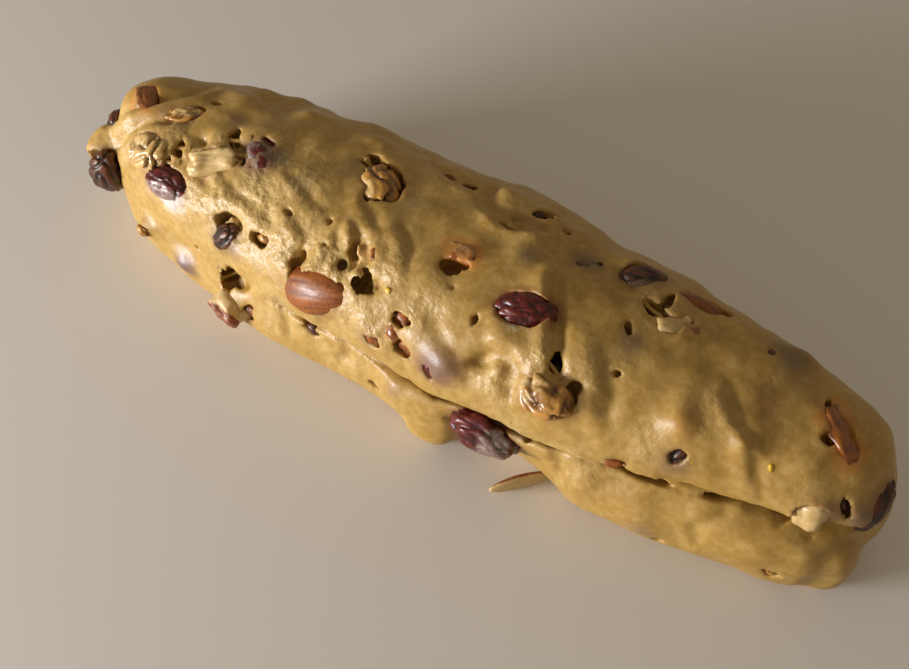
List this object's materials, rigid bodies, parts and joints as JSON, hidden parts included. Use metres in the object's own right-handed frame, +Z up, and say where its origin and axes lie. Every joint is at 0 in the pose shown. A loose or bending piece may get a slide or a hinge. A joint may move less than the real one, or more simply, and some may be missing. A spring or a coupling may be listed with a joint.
{
  "type": "stollen",
  "caption": "Raw stollen: a long folded loaf of rich yeast dough with dried fruit, nuts and candied peel set into its skin.",
  "frame": {"origin": "middle of the footprint box, on the surface that the loaf lies on", "axes": "+X along the loaf, +Z up, -Y towards the side with the lip below the fold"},
  "size_m": [0.2662, 0.078, 0.0564],
  "materials": {
    "dough": "raw rich yeast dough: smooth stretched skin, moist sheen, cream yellow",
    "raisin": "dried raisin: wrinkled, dark brown, moist sheen",
    "cranberry": "dried cranberry: wrinkled, deep red, moist sheen",
    "almond": "whole almond: brown skin with fine ridges",
    "walnut": "walnut piece: amber, folded, slightly glossy",
    "nut_flesh": "chopped nut: cream flesh with brown skin at its edges",
    "peel": "candied orange peel: translucent orange, moist"
  },
  "bodies": {
    "root": {"dough": "dough", "almond_chunk": "nut_flesh", "almond_far": "almond", "almond_sliver": "nut_flesh", "almond_whole": "almond", "cranberry_gap": "cranberry", "cranberry_left": "cranberry", "cranberry_sunk": "cranberry", "cranberry_top": "cranberry", "nut_end": "nut_flesh", "nut_left": "nut_flesh", "nut_right": "nut_flesh", "peel_left": "peel", "peel_mid": "peel", "peel_right": "peel", "raisin_end_far": "raisin", "raisin_end_near": "raisin", "raisin_end_right": "raisin", "raisin_far_edge": "raisin", "raisin_fold_left": "raisin", "raisin_low": "raisin", "raisin_slit": "raisin", "raisin_top": "raisin", "raisin_top_small": "raisin", "walnut_left": "walnut", "walnut_low": "walnut", "walnut_skin_left": "walnut", "walnut_top": "walnut"}
  },
  "joints": []
}
